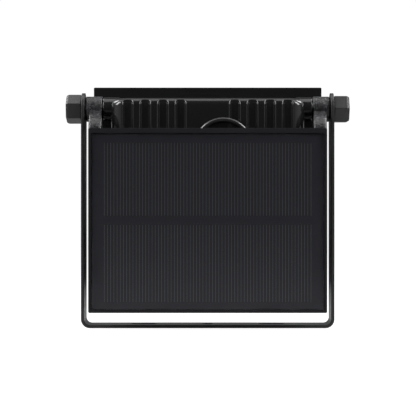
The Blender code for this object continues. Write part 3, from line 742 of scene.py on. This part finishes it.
def casing_columns():
    """Places across the back, close together at the flutes' walls."""
    steps = (-0.8, -0.65, -0.5, -0.35, -0.2, -0.05, 0.15, 0.35, 0.6, 0.9, 1.6)  # across one wall
    half = FLUTE_WIDTH / 2
    places = [0.0, 6.0, 11.0]
    for centre in FLUTE_CENTRES:
        places += [centre - half - s for s in steps] + [centre + half + s for s in steps] + [centre]
    places = sorted(p for p in places if p < CASING_HALF_WIDTH - CORNER_R + 1.6)
    return [-p for p in reversed(places) if p] + places


def casing_rows():
    """Heights of the rings with how far each has turned over the rounded edge, in degrees."""
    turns = [3 * k for k in range(31)]
    flat_low, flat_high = CASING_BOTTOM + EDGE_R, CASING_TOP - EDGE_R
    rows = [(flat_low - EDGE_R * math.sin(math.radians(t)), -t) for t in reversed(turns)]
    rows += [(flat_low + (flat_high - flat_low) * k / 6, 0) for k in range(1, 6)]
    return rows + [(flat_high + EDGE_R * math.sin(math.radians(t)), t) for t in turns]


def casing_ring(z, turn, back, front):
    """The casing's outline at a height, seen from above, with its back sunk by the flutes."""
    draw_back = EDGE_R * (1 - math.cos(math.radians(abs(turn))))
    side_near = max(0.0, SIDE_EDGE_R - min(z - CASING_BOTTOM, CASING_TOP - z))
    draw_side = SIDE_EDGE_R - math.sqrt(max(0.0, SIDE_EDGE_R ** 2 - side_near ** 2))
    x, y = CASING_HALF_WIDTH - draw_side, back + draw_back
    from_middle = z - (CASING_BOTTOM + CASING_TOP) / 2
    columns = casing_columns()
    stop = math.degrees(math.asin((columns[-1] + 0.4 - x + CORNER_R) / CORNER_R))
    ring = [(-x, front), (-x, SIDE_Y)]
    ring += arc((CORNER_R - x, y + CORNER_R), CORNER_R, 180, 270 - stop, 8)
    for column in columns:
        over = max(0.0, abs(column) - x + CORNER_R)
        plain = y + (CORNER_R - math.sqrt(CORNER_R ** 2 - over ** 2))
        sunk = soft_max(plain, back + flute_depth(column, from_middle)) - soft_max(plain, back)
        ring.append((column, plain + sunk))
    ring += arc((x - CORNER_R, y + CORNER_R), CORNER_R, 270 + stop, 360, 8)
    return [(a, b, z) for a, b in ring + [(x, SIDE_Y), (x, front)]]


def lug_bm(sign):
    """A lug on the casing's side with a rounded tip."""
    profile = [(sign * (CASING_HALF_WIDTH - 5), LUG_R)]
    profile += [(sign * (LUG_TIP - along), LUG_R - inset) for along, inset in quarter(LUG_EDGE_R, 6)]
    return turned(profile, "x", (0, AXIS_Z), 72)


def casing_cutters(back):
    """The lugs' bores, and the openings for the button, the charge socket and the cable's gland."""
    cutters = bmesh.new()
    for _, sign in SIDES:
        bore = [(sign * LUG_BORE_IN, LUG_BORE_R), (sign * LUG_BORE_OUT, LUG_BORE_R)]
        turned(bore, "x", (0, AXIS_Z), 32, bm=cutters)
    button, socket, gland = centre_of("power_button"), centre_of("charge_socket"), centre_of("lamp_gland")
    under, inside = CASING_BOTTOM - 1, CASING_BOTTOM + 4
    turned([(under, BUTTON_HOLE_R), (inside, BUTTON_HOLE_R)], "z", (button.x, button.y), 40, bm=cutters)
    slot = rectangle(socket.x - SOCKET_HOLE_X, socket.x + SOCKET_HOLE_X,
                     socket.y - SOCKET_HOLE_Y, socket.y + SOCKET_HOLE_Y, 1.0)
    lofted([(under, slot), (inside, slot)], "z", bm=cutters)
    gland_hole = [(back - 1, GLAND_HOLE_R), (back + 5, GLAND_HOLE_R)]
    turned(gland_hole, "y", (gland.x, AXIS_Z - GLAND_DROP), 24, bm=cutters)
    return cutters


def screw_holes(node, radius, start, end, bm):
    """Adds four holes along Y, where the CAD has its four screws of that name."""
    for number in SCREW_NUMBERS:
        at = centre_of(f"{node}_{number}")
        turned([(start, radius), (end, radius)], "y", (at.x, at.z), 20, bm=bm)
    return bm


def make_casing():
    """The fluted casing with its lugs, and the flange round its open front."""
    low, high = box_mm("rear_casing")
    bezel_low, bezel_high = box_mm("front_bezel")
    back, flange_back = low.y, bezel_low.y
    rings = [casing_ring(z, turn, back, flange_back + 1.0) for z, turn in casing_rows()]
    casing = make_piece("lamp_casing", skin(bmesh.new(), rings), "gloss_black")
    for _, sign in SIDES:
        reshape(casing, "UNION", lug_bm(sign))
    inner_x = CASING_HALF_WIDTH - CASING_WALL
    pocket = (-inner_x, inner_x, back + CASING_BACK_WALL, high.y + 2,
              CASING_BOTTOM + CASING_WALL, CASING_TOP - CASING_WALL)
    reshape(casing, "DIFFERENCE", box_bm(*pocket))
    reshape(casing, "DIFFERENCE", casing_cutters(back))
    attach(casing, "lamp")
    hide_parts("rear_casing")

    edge = drawn_in((bezel_high.x, bezel_low.z, bezel_high.z), FLANGE_INSET)

    def outline_at(d):
        x, z0, z1 = drawn_in(edge, d)
        return rectangle(-x, x, z0, z1, FRAME_CORNER_R)

    plate = rounded_prism(outline_at, "y", flange_back, high.y, 0.02)
    flange = make_piece("casing_flange", plate, "matt_black")
    holes = screw_holes("bezel_screw", SCREW_HOLE_R, flange_back - 1, high.y + 1, box_bm(*pocket))
    reshape(flange, "DIFFERENCE", holes)
    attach(flange, "lamp")


def make_flange_pad():
    """A blank, shallow raised pad on the flange above the casing."""
    bezel_low, bezel_high = box_mm("front_bezel")
    left, right, raised, sunk = -18.2, 12.4, 0.15, 0.3
    shape = box_bm(left, right, bezel_low.y - raised, bezel_low.y + sunk,
                   AXIS_Z + 8.0, bezel_high.z - 3.6, 0.2)
    pad = make_piece("flange_pad", shape, "matt_black", "lamp")


def make_bezel():
    """The wide frame round the lens, with a window, a pocket for the lens and a recess for the flange."""
    low, high = box_mm("front_bezel")
    back, front, mid = low.y, high.y, (low.z + high.z) / 2
    pocket_front, pocket_back, hole_end = 25.0, 20.4, 24.3
    back_r, front_r, window_r = 0.4, 1.6, 1.4
    outside = (high.x, low.z, high.z)
    window = (58.0, mid - 52.0, mid + 52.0)
    pocket = (61.8, mid - 55.3, mid + 55.3)
    recess = drawn_in(outside, 2.7)
    section = [(back + along, *drawn_in(outside, inset)) for inset, along in quarter(back_r, 4)]
    section += [(front - along, *drawn_in(outside, inset)) for along, inset in quarter(front_r, 6)]
    section += [(front - along, *drawn_in(window, -inset)) for inset, along in quarter(window_r, 4)]
    section += [(pocket_front, *window), (pocket_front, *pocket), (pocket_back, *pocket),
                (pocket_back, *recess), (back, *recess)]
    bezel = make_piece("bezel_frame", ring_section(section, FRAME_CORNER_R), "matt_black")
    holes = screw_holes("bezel_screw", SCREW_HOLE_R, back - 1, hole_end, bmesh.new())
    reshape(bezel, "DIFFERENCE", holes)
    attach(bezel, "lamp")
    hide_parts("front_bezel")


def make_reflector():
    """A curved white dish that widens from the light source to the lens."""
    low, high = box_mm("reflector")
    mid = centre_of("reflector").z
    mouth, wall, steps = 19.5, 0.9, 10
    half_x, half_z = 29.0, 19.0  # half sizes round the light source
    grow_x, grow_z = 28.0, 33.2  # how much they grow by the mouth
    inner, outer = [], []
    for i in range(steps + 1):
        t = i / steps
        y, wider = low.y + (mouth - low.y) * t ** 1.35, t ** 0.72
        inner.append((y, half_x + grow_x * wider, half_z + grow_z * wider))
        outer.append((y + wall, inner[i][1] + 0.4 - wider, inner[i][2] + 0.4 - 1.2 * wider))
    rim = [(mouth, high.x, high.z - mid), (high.y, high.x, high.z - mid)]
    section = [(y, x, mid - z, mid + z) for y, x, z in inner + rim + outer[::-1]]
    dish = make_piece("reflector_dish", ring_section(section, 4.0), "white_plastic", "lamp")
    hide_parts("reflector")


def make_leds():
    """Rows of square emitters, each a white frame round a domed drop of phosphor."""
    low, high = box_mm("cob_led")
    columns, rows, half = 10, 6, 1.7
    dome = [(high.y - 0.3, 1.25), (high.y - 0.08, 1.2), (high.y - 0.02, 0.8), (high.y, 0.2)]
    frames, drops = bmesh.new(), bmesh.new()
    for i in range(columns):
        x = low.x + (high.x - low.x) * (i + 0.5) / columns
        for j in range(rows):
            z = low.z + (high.z - low.z) * (j + 0.5) / rows
            box_bm(x - half, x + half, low.y, high.y - 0.1, z - half, z + half, 0.3, frames)
            turned(dome, "y", (x, z), 20, bm=drops)
    body = make_piece("emitter_frames", frames, "white_plastic", "lamp")
    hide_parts("cob_led")
    make_piece("emitter_drops", drops, "phosphor", "lamp")


def screw_bm(at, head, tip, toward, head_r, head_thick, shank_r):
    """A pan head screw, driven along Y."""
    neck = head + toward * head_thick
    profile = [(head, head_r * 0.35), (head + toward * 0.08, head_r * 0.62),
               (head + toward * 0.32, head_r * 0.86), (head + toward * 0.7, head_r),
               (neck, head_r), (neck, shank_r), (tip - toward * 1.0, shank_r), (tip, shank_r * 0.4)]
    return turned(profile, "y", (at.x, at.z), 40)


def cross_bm(at, head, toward, head_r):
    """A screw head's cross recess, narrower at its bottom."""
    long, wide, deep = head_r * 0.62, head_r * 0.15, head_r * 0.32
    bm = bmesh.new()
    for half_x, half_z in ((long, wide), (wide, long)):
        stations = []
        for depth, share in ((-0.3, 1.05), (deep, 0.45)):
            a, b = half_x * share, half_z * share
            outline = rectangle(at.x - a, at.x + a, at.z - b, at.z + b, 0.02, 1)
            stations.append((head + toward * depth, outline))
        lofted(stations, "y", bm=bm)
    return bm


def make_screws():
    """Four screws through the bezel's back, and four smaller ones through the panel's back cover."""
    # CAD node, piece, direction, body, and sizes: head radius, head thickness and shank radius
    kinds = (("bezel_screw", "bezel_bolt", 1, "lamp", (2.8, 1.6, 1.5)),
             ("back_screw", "cover_bolt", -1, "panel", (2.0, 0.9, 1.1)))
    for node, name, toward, body, sizes in kinds:
        for number in SCREW_NUMBERS:
            low, high = box_mm(f"{node}_{number}")
            at = (low + high) / 2
            head, tip = (low.y, high.y) if toward > 0 else (high.y, low.y)
            shape = screw_bm(at, head, tip, toward, *sizes)
            bolt = make_piece(f"{name}_{number}", shape, "steel")
            reshape(bolt, "DIFFERENCE", cross_bm(at, head, toward, sizes[0]), own=True)
            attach(bolt, body)
            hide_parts(f"{node}_{number}")


def make_button():
    """A domed rubber cap with a raised ring."""
    low, high = box_mm("power_button")
    at = centre_of("power_button")
    dome = [(0.55, 0.1), (0.5, 1.6), (0.28, 2.2), (0.02, 2.7), (0.0, 3.1), (0.1, 3.5), (0.45, 4.1),
            (0.85, 4.6), (1.4, 4.9), (4.0, 4.9), (4.0, 6.2)]
    profile = [(low.z + up, radius) for up, radius in dome] + [(high.z, 6.2)]
    cap = make_piece("power_key", turned(profile, "z", (at.x, at.y)), "rubber", "power_button")
    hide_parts("power_button")


def flap_bm(low, high, top):
    """The port cover's rubber flap with its finger lip and grip ribs."""
    def outline_at(d):
        return rectangle(low.x + d, high.x - d * 0.3, low.y + d, high.y - d, 1.4 - d)

    rib_out, rib_half, rib_pitch, margin = 0.3, 0.35, 1.5, 1.4
    bm = rounded_prism(outline_at, "z", low.z + rib_out, top, 0.4)
    for k in range(3):
        x = low.x + 2.2 + rib_pitch * k
        box_bm(x - rib_half, x + rib_half, low.y + margin, high.y - margin,
               low.z, low.z + 2 * rib_out, 0.2, bm)
    return bm


def stopper_bm(bottom, top):
    """The plug on the flap that fills the charge socket."""
    plug, half_x, half_y = centre_of("charge_socket"), 4.7, 2.1

    def outline_at(d):
        a, b = half_x - d, half_y - d
        return rectangle(plug.x - a, plug.x + a, plug.y - b, plug.y + b, 0.8 - d * 0.5)

    return rounded_prism(outline_at, "z", bottom, top, 0.4)


def web_bm(low, high, top, start, end):
    """The strip that the flap hinges on, thinner in the middle."""
    rings, steps = [], 14
    for i in range(steps + 1):
        t = i / steps
        x, sag = start + (end - start) * t, 0.35 * math.sin(math.pi * t)
        under, over = low.z + 0.45 + sag, top - 0.25 - sag * 0.4
        rings.append([(x, y, z) for y, z in rectangle(low.y + 1.0, high.y - 1.0, under, over, 0.15, 3)])
    return skin(bmesh.new(), rings)


def make_port_cover():
    """The socket's rubber flap, and the web that joins it to its anchor."""
    low, high = box_mm("port_cover")
    anchor_low, _ = box_mm("port_cover_anchor")
    top = anchor_low.z + 1.3
    flap = make_piece("port_flap", flap_bm(low, high, top), "rubber")
    reshape(flap, "UNION", stopper_bm(top - 0.4, high.z))
    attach(flap, "port_cover")
    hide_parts("port_cover")

    start, end = high.x - 1.2, anchor_low.x + 0.8
    web = make_piece("port_web", web_bm(low, high, top, start, end), "rubber")
    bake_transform(web)


# -------- solar panel


PANEL_HALF_WIDTH = 72.5
PANEL_OVER_GLASS = 3.3  # how far the frame's top stands above its glazing
RAIL_BACK = -17.0
RAIL_CORNER_R = 0.9
LEDGE_FRONT, LEDGE_BACK = -23.4, -19.5  # the flat ledge inside the frame, behind the backboard
COVER_SCREW_R, COVER_SCREW_IN, COVER_SCREW_OUT = 1.4, -22.9, -18.5  # their holes' radius and ends
EAR_IN, EAR_R, EAR_BORE_R = 65.6, 7.9, 4.8
ARM_OUT = 73.4
BOARD_FRONT = -26.0
CELL_THICKNESS = 0.15
PANE_THICKNESS = 0.45
LINE_COUNT, LINE_WIDTH = 66, 0.26


def arm_bm(sign, front, back, top):
    """The ear's arm: out from the barrel, over a shoulder and down onto the frame's top rail."""
    z, steps = AXIS_Z, 22
    outer = bezier((-7.2, z - 1.0), (-10.5, z - 3.8), (front + 0.9, z - 5.2), (front, top - 1.5), steps)
    inner = bezier((0, z - EAR_R + 0.9), (-10, z - 9.4), (back, z - 10.5), (back, top - 1.5), steps)
    rings = []
    for i, (a, b) in enumerate(zip(outer, inner)):
        x0 = EAR_IN - 1.1 * smoothstep(0.2, 0.7, i / steps)
        x1 = ARM_OUT - 0.9 * smoothstep(0.2, 0.9, i / steps)
        across = Vector((b[0] - a[0], b[1] - a[1]))
        thick = across.length
        across.normalize()
        rings.append([(sign * x, a[0] + across.x * depth, a[1] + across.y * depth)
                      for x, depth in rectangle(x0, x1, 0.0, thick, 1.3)])
    return skin(bmesh.new(), rings)


def barrel_bm(sign, outer_x):
    """The ear's round barrel about the clamping axis, with a larger edge round its outer end."""
    edge = 1.1
    profile = [(EAR_IN + along, EAR_R - inset) for inset, along in quarter(edge * 0.6, 4)]
    profile += [(outer_x - along, EAR_R - inset) for along, inset in quarter(edge, 6)]
    return turned([(sign * x, r) for x, r in profile], "x", (0, AXIS_Z), 64)


def rail_section(bottom, top, front):
    """The frame's rails cut across, with the opening for the cells and the recess for the back cover."""
    back_r, front_r = 0.5, 0.15
    outside = (PANEL_HALF_WIDTH, bottom, top)
    lip = (PANEL_HALF_WIDTH - 1.6, bottom + 1.6, top - 3.0)
    opening = (64.5, bottom + 6.0, top - 7.0)
    recess = (PANEL_HALF_WIDTH - 1.9, bottom + 1.9, top - 3.3)
    section = [(RAIL_BACK - along, *drawn_in(outside, inset)) for inset, along in quarter(back_r, 3)]
    section += [(front + along, *drawn_in(outside, inset)) for along, inset in quarter(front_r, 5)]
    return section + [(front, *lip), (LEDGE_FRONT, *lip), (LEDGE_FRONT, *opening),
                      (LEDGE_BACK, *opening), (LEDGE_BACK, *recess), (RAIL_BACK, *recess)]


def make_panel_frame():
    """The rails round the cells, and the two ears that hang them from the clamping axis."""
    low, high = box_mm("panel_frame")
    top, bottom, front = box_mm("panel_glazing")[1].z + PANEL_OVER_GLASS, low.z, low.y
    shape = ring_section(rail_section(bottom, top, front), RAIL_CORNER_R)
    rails = make_piece("panel_rails", shape, "panel_plastic")
    holes = screw_holes("back_screw", COVER_SCREW_R, COVER_SCREW_OUT, COVER_SCREW_IN, bmesh.new())
    reshape(rails, "DIFFERENCE", holes)
    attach(rails, "panel")
    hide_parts("panel_frame")

    for side, sign in SIDES:
        ear = make_piece(f"{side}_ear", arm_bm(sign, front + 0.15, RAIL_BACK - 0.3, top), "textured_black")
        reshape(ear, "UNION", barrel_bm(sign, high.x))
        bore = [(sign * (EAR_IN - 1), EAR_BORE_R), (sign * (high.x + 1), EAR_BORE_R)]
        reshape(ear, "DIFFERENCE", turned(bore, "x", (0, AXIS_Z), 32))
        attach(ear, "panel")


def make_sheet(name, node, y0, y1, radius, look):
    """A flat layer of the panel, as wide and as high as the CAD node that it stands for."""
    low, high = box_mm(node)
    sheet = make_piece(name, box_bm(low.x, high.x, y0, y1, low.z, high.z, radius), look, "panel")
    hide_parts(node)


def make_backboard():
    """The black board behind the cells."""
    _, high = box_mm("solar_backboard")
    make_sheet("backboard_sheet", "solar_backboard", BOARD_FRONT, high.y, 0.1, "backboard")


def make_cells():
    """Each row of thin-film cells, and the fine silver lines that divide it."""
    front, raised = BOARD_FRONT - CELL_THICKNESS, 0.05
    half, side_margin, end_margin = LINE_WIDTH / 2, 0.3, 0.5
    for name in ("upper_cell_row", "lower_cell_row"):
        make_sheet(name + "_film", name, front, BOARD_FRONT, 0.05, "solar_cell")
        low, high = box_mm(name)
        lines = bmesh.new()
        for k in range(LINE_COUNT):
            x = low.x + side_margin + (high.x - low.x - 2 * side_margin) * k / (LINE_COUNT - 1)
            box_bm(x - half, x + half, front - raised, front + raised,
                   low.z + end_margin, high.z - end_margin, 0.02, lines)
        piece = make_piece(name + "_lines", lines, "finger_silver", "panel")


def make_glazing():
    """The clear pane over the cells."""
    low, _ = box_mm("panel_glazing")
    back = low.y + PANE_THICKNESS
    make_sheet("glazing_pane", "panel_glazing", low.y, back, 0.1, "panel_film")


# -------- clamping knobs


KNOB_FLATS = 16.0
KNOB_CORNER_R = 0.7
KNOB_SHORTER = 0.6  # how far a grip's crown ends inside its CAD box
KNOB_TURNS = {"left": 18.9, "right": 0.0}  # degrees that each knob's first corner stands above -Y
BOLT_POCKET_R, BOLT_POCKET_DEPTH = 6.5, 5.6


def hexagon_ring(x, radius, turn):
    """A hexagon with rounded corners in the YZ plane, its first corner turned up from -Y."""
    ring, steps = [], 3
    inner = radius - KNOB_CORNER_R / math.cos(math.radians(30))
    for k in range(6):
        middle = math.radians(turn + 60 * k)
        for i in range(steps + 1):
            angle = middle + math.radians(-30 + 60 * i / steps)
            y = -inner * math.cos(middle) - KNOB_CORNER_R * math.cos(angle)
            z = inner * math.sin(middle) + KNOB_CORNER_R * math.sin(angle)
            ring.append((x, y, AXIS_Z + z))
    return ring


def make_knobs():
    """The two hexagonal grips, each with a pocket for its bolt's head and a crowned outer end."""
    corner_r = KNOB_FLATS / 2 / math.cos(math.radians(30))
    crown_length, crown_drop = 2.2, 1.5
    for side, sign in SIDES:
        low, high = box_mm(f"{side}_knob")
        near, far = (high.x, low.x + KNOB_SHORTER) if sign < 0 else (low.x, high.x - KNOB_SHORTER)
        length = abs(far - near)
        outline = [(along, corner_r - inset) for inset, along in quarter(0.5, 3)]
        outline += [(length - crown_length * along, corner_r - crown_drop * inset)
                    for along, inset in quarter(1.0, 8)]
        rings = [hexagon_ring(near + sign * along, radius, KNOB_TURNS[side]) for along, radius in outline]
        grip = make_piece(f"{side}_grip", skin(bmesh.new(), rings), "knob_plastic")
        pocket = [(near - sign, BOLT_POCKET_R), (near + sign * BOLT_POCKET_DEPTH, BOLT_POCKET_R)]
        reshape(grip, "DIFFERENCE", turned(pocket, "x", (0, AXIS_Z), 40))
        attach(grip, f"{side}_knob")
        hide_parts(f"{side}_knob")


# -------- the whole light


CAD_LOOKS = {
    "steel": ("left_clamp_bolt", "right_clamp_bolt", "left_washer", "right_washer", "charge_socket"),
    "brass": ("left_insert", "right_insert"),
    "copper": ("left_row_link", "right_row_link"),
    "aluminium": ("heat_plate",),
    "white_plastic": ("led_board", "left_ear_bush", "right_ear_bush"),
    "glass": ("lens",),
    "rubber": ("casing_gasket", "lens_gasket", "lamp_gland", "junction_block", "left_rest_pad",
               "right_rest_pad", "port_cover_anchor"),
    "board_green": ("driver_board", "charge_diode_board"),
    "cell_wrap": ("battery_cell_1", "battery_cell_2"),
    "matt_black": ("battery_holder", "switch_body"),
    "panel_plastic": ("panel_back_cover",),
}


def main():
    bpy.context.scene.view_settings.view_transform = "Standard"
    add_camera()
    make_link_cable()
    add_world()
    add_lights()
    add_floor()
    make_bracket()
    make_casing()
    make_flange_pad()
    make_bezel()
    make_reflector()
    make_leds()
    make_screws()
    make_button()
    make_port_cover()
    make_panel_frame()
    make_backboard()
    make_cells()
    make_glazing()
    make_knobs()
    cad, left_alone = set(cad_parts.values()), ("floor", "link_lead", "port_web")
    flatten_normals([o for o in bpy.context.scene.objects
                     if o.type == "MESH" and o not in cad and o.name not in left_alone])
    for look, nodes in CAD_LOOKS.items():
        for node in nodes:
            dress(node, look)


main()
